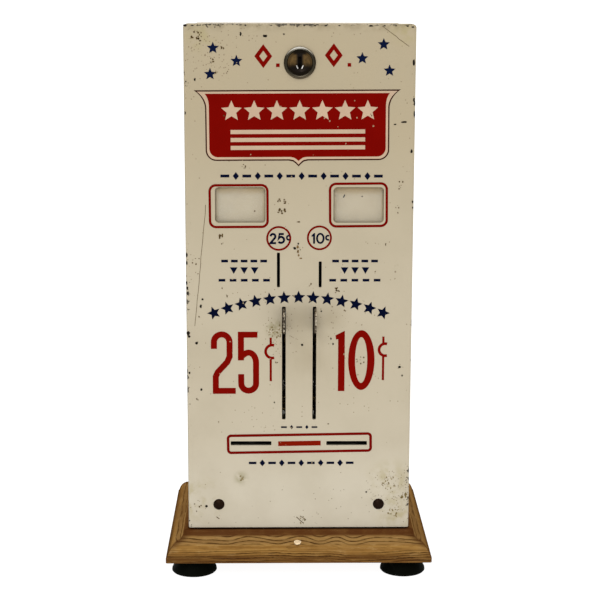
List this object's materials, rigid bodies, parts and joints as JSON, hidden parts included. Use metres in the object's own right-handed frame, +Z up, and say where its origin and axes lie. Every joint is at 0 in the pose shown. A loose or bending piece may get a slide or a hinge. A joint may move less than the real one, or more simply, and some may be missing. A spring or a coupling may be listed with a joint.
{
  "type": "stamp vending machine",
  "caption": "Narrow counter-top vending machine for stamps: steel case and drop-down door with two windows, coin slots, push levers and delivery slots, on a moulded wooden base.",
  "frame": {"origin": "middle of the base's footprint at table level, under the rubber feet", "axes": "+Z up, the door face looks along -Y, +X to the right as seen from the front"},
  "size_m": [0.1956, 0.1596, 0.4023],
  "materials": {
    "wood": "varnished, worn",
    "foot_rubber": "matte",
    "case_paint": "satin enamel, worn",
    "door_paint": "satin enamel, chipped",
    "steel": "plain",
    "plated_steel": "zinc plated",
    "lever_steel": "worn bare",
    "brass": "satin",
    "lock_chrome": "polished, worn",
    "lock_brass": "tarnished",
    "rivet_dark": "dark, rusted",
    "window_glass": "clear",
    "card": "cream card",
    "weight_iron": "plain",
    "box_paint": "grey"
  },
  "bodies": {
    "case": {"plinth": "wood", "foot_front_left": "foot_rubber", "foot_front_right": "foot_rubber", "foot_rear_left": "foot_rubber", "foot_rear_right": "foot_rubber", "foot_screws": "steel", "case_shell": "case_paint", "case_screws": "steel", "case_hinge_leaf": "plated_steel", "hinge_pin": "steel", "latch_keeper": "plated_steel", "frame_plate_left": "plated_steel", "frame_plate_right": "plated_steel", "frame_spacers": "steel", "frame_bolts": "steel", "lever_shaft": "steel", "idler_shaft": "steel", "shaft_collars": "brass", "ejector_tray": "plated_steel", "magazine_left": "plated_steel", "magazine_right": "plated_steel", "coin_chute_large": "plated_steel", "coin_chute_small": "plated_steel", "coin_box": "box_paint", "lever_spring_left": "steel", "lever_spring_right": "steel"},
    "door": {"door_panel": "door_paint", "door_hinge_leaf": "plated_steel", "hinge_rivets": "rivet_dark", "window_pane_left": "window_glass", "window_pane_right": "window_glass", "window_card_left": "card", "window_card_right": "card", "card_holder_left": "plated_steel", "card_holder_right": "plated_steel", "lock_body": "lock_chrome", "lock_nut": "steel"},
    "lock": {"lock_plug": "lock_brass", "lock_cam": "plated_steel", "cam_screw": "steel"},
    "left_lever": {"lever_left": "lever_steel", "lever_bush_left": "brass"},
    "right_lever": {"lever_right": "lever_steel", "lever_bush_right": "brass"},
    "left_idler": {"idler_left": "brass"},
    "right_idler": {"idler_right": "brass"},
    "left_ejector": {"ejector_left": "plated_steel", "ejector_rack_left": "plated_steel"},
    "right_ejector": {"ejector_right": "plated_steel", "ejector_rack_right": "plated_steel"},
    "left_follower": {"follower_left": "weight_iron"},
    "right_follower": {"follower_right": "weight_iron"}
  },
  "joints": [
    {"name": "door_hinge", "type": "hinge", "parent": "case", "child": "door", "pos_m": [0, -0.0589, 0.045], "axis": [1, 0, 0], "range_deg": [0, 90]},
    {"name": "lock_turn", "type": "hinge", "parent": "door", "child": "lock", "pos_m": [0, -0.05, 0.3755], "axis": [0, 1, 0], "range_deg": [0, 180]},
    {"name": "left_lever_push", "type": "hinge", "parent": "case", "child": "left_lever", "pos_m": [-0.0114, 0.022, 0.1591], "axis": [1, 0, 0], "range_deg": [0, 40], "stiffness_Nm_per_rad": 0.15, "springref_deg": -28.65, "deforming": ["lever_spring_left"]},
    {"name": "right_lever_push", "type": "hinge", "parent": "case", "child": "right_lever", "pos_m": [0.0114, 0.022, 0.1591], "axis": [1, 0, 0], "range_deg": [0, 40], "stiffness_Nm_per_rad": 0.15, "springref_deg": -28.65, "deforming": ["lever_spring_right"]},
    {"name": "left_idler_spin", "type": "hinge", "parent": "case", "child": "left_idler", "pos_m": [-0.0114, 0.022, 0.1101], "axis": [1, 0, 0], "range_deg": [-178, 1]},
    {"name": "right_idler_spin", "type": "hinge", "parent": "case", "child": "right_idler", "pos_m": [0.0114, 0.022, 0.1101], "axis": [1, 0, 0], "range_deg": [-178, 1]},
    {"name": "left_ejector_slide", "type": "slide", "parent": "case", "child": "left_ejector", "axis": [0, -1, 0], "range_m": [0, 0.028]},
    {"name": "right_ejector_slide", "type": "slide", "parent": "case", "child": "right_ejector", "axis": [0, -1, 0], "range_m": [0, 0.028]},
    {"name": "left_follower_slide", "type": "slide", "parent": "case", "child": "left_follower", "axis": [0, 0, 1], "range_m": [0, 0.25]},
    {"name": "right_follower_slide", "type": "slide", "parent": "case", "child": "right_follower", "axis": [0, 0, 1], "range_m": [0, 0.25]}
  ],
  "couplings": [
    {"joint": "left_idler_spin", "follows": "left_lever_push", "ratio": -4.4444},
    {"joint": "right_idler_spin", "follows": "right_lever_push", "ratio": -4.4444},
    {"joint": "left_ejector_slide", "follows": "left_lever_push", "m_per_rad": 0.04},
    {"joint": "right_ejector_slide", "follows": "right_lever_push", "m_per_rad": 0.04}
  ]
}
